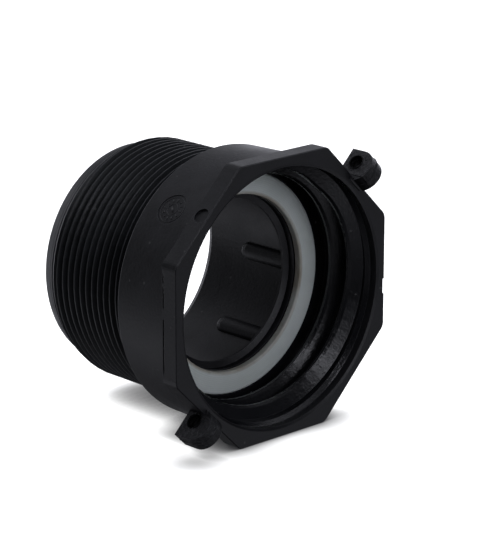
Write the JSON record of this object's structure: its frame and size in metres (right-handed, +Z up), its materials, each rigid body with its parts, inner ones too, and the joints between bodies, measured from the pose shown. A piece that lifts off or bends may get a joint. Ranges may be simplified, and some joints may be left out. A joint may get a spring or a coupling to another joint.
{
  "type": "ibc tap adapter",
  "caption": "Black moulded plastic pipe adapter: octagon mouth with a coarse female thread and a pale seal ring, wire-seal lugs on its rim, and a male pipe thread.",
  "frame": {"origin": "centre of the mouth, in the plane of the octagon's front face", "axes": "+Y along the pipe axis from the mouth to the male thread, +X to the right seen from the mouth, +Z up, with octagon flats facing +X, -X, +Z and -Z"},
  "size_m": [0.0672, 0.0566, 0.0672],
  "materials": {
    "body_plastic": "near-black satin moulded polypropylene with a fine grain",
    "seal_plastic": "light grey, slightly translucent soft polyethylene"
  },
  "bodies": {
    "root": {"adapter_body": "body_plastic", "seal_ring": "seal_plastic"}
  },
  "joints": []
}
